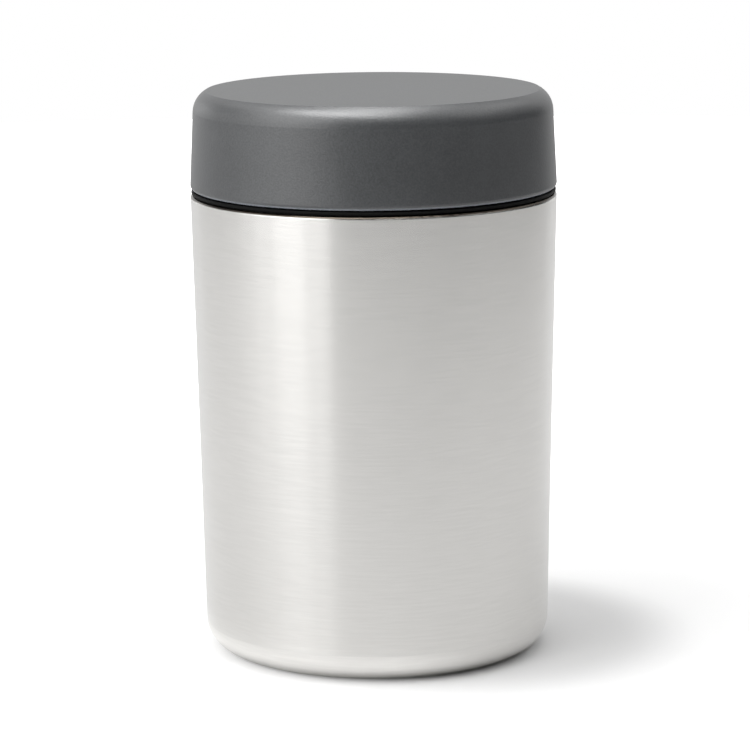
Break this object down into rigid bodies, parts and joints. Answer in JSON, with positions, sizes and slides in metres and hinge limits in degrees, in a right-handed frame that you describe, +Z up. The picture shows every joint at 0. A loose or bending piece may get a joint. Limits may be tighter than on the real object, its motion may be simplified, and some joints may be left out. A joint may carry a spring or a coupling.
{
  "type": "insulated food jar",
  "caption": "Double-walled vacuum food jar with a tapered brushed steel body and a low grey screw-on lid that turns and rises on its thread.",
  "frame": {"origin": "centre of the foot ring on the surface that the jar stands on", "axes": "+Z up along the jar's axis, through the middle of the lid; the jar is round, so +X and +Y are free, and the picture looks along +Y"},
  "size_m": [0.0954, 0.0954, 0.1474],
  "materials": {
    "brushed_steel_shell": "satin",
    "polished_steel_liner": "polished",
    "copper_foil": "gloss",
    "plain_steel_base": "satin",
    "glass_seal": "gloss",
    "brushed_steel_cover": "satin",
    "getter_alloy": "matte",
    "strap_steel": "satin",
    "grey_lid_plastic": "matte",
    "dark_cap_plastic": "satin",
    "insulating_foam": "matte",
    "clear_silicone": "satin"
  },
  "bodies": {
    "jar": {"outer_shell": "brushed_steel_shell", "inner_liner": "polished_steel_liner", "foil_shield": "copper_foil", "base_plate": "plain_steel_base", "seal_bead": "glass_seal", "base_cover": "brushed_steel_cover", "getter_pellet": "getter_alloy", "getter_strap": "strap_steel"},
    "seal": {"silicone_seal": "clear_silicone"},
    "lid": {"lid_shell": "grey_lid_plastic", "inner_cap": "dark_cap_plastic", "lid_foam": "insulating_foam"}
  },
  "joints": [
    {"name": "lid_rise", "type": "slide", "parent": "jar", "child": "seal", "axis": [0, 0, 1], "range_m": [0, 0.036]},
    {"name": "lid_turn", "type": "hinge", "parent": "seal", "child": "lid", "pos_m": [0, 0, 0.13], "axis": [0, 0, 1], "range_deg": [0, 1080]}
  ],
  "couplings": [
    {"joint": "lid_rise", "follows": "lid_turn", "m_per_rad": 0.0019098}
  ]
}
